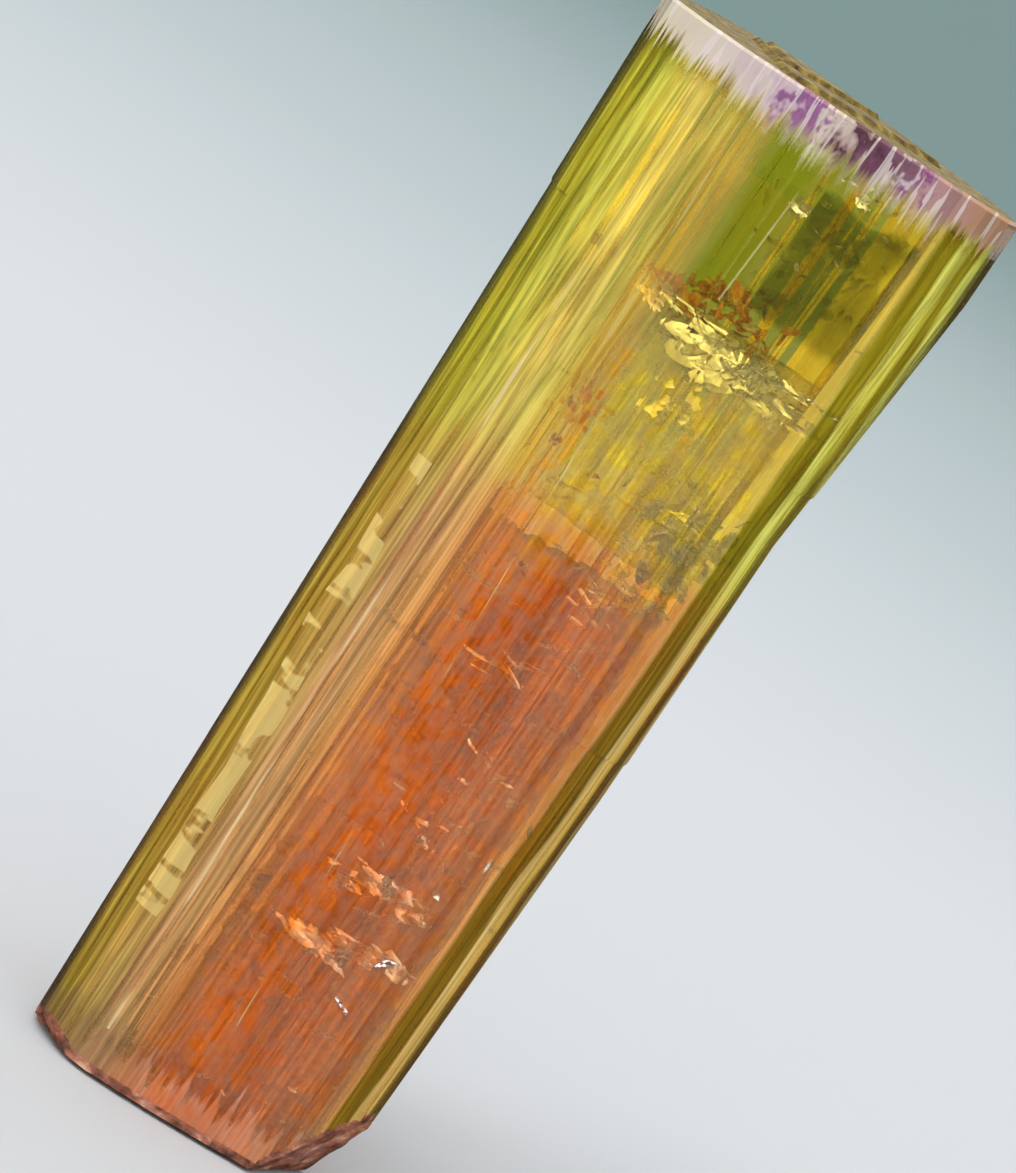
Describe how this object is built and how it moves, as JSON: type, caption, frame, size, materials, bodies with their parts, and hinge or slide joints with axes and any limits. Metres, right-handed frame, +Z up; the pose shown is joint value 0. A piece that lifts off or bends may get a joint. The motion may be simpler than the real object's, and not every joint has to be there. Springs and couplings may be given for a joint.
{
  "type": "tourmaline crystal",
  "caption": "Clear zoned tourmaline crystal: striated rounded three-sided prism, flat top, broken flat base to stand on.",
  "frame": {"origin": "middle of the bounding box on the base plane that the crystal stands on", "axes": "+Z up along the crystal's long axis, the broad prism face looks along -Y, +X to the right of it"},
  "size_m": [0.0174, 0.0166, 0.0504],
  "materials": {
    "crystal": "clear, polished by growth, finely striated along its length"
  },
  "bodies": {
    "root": {"crystal": "crystal"}
  },
  "joints": []
}
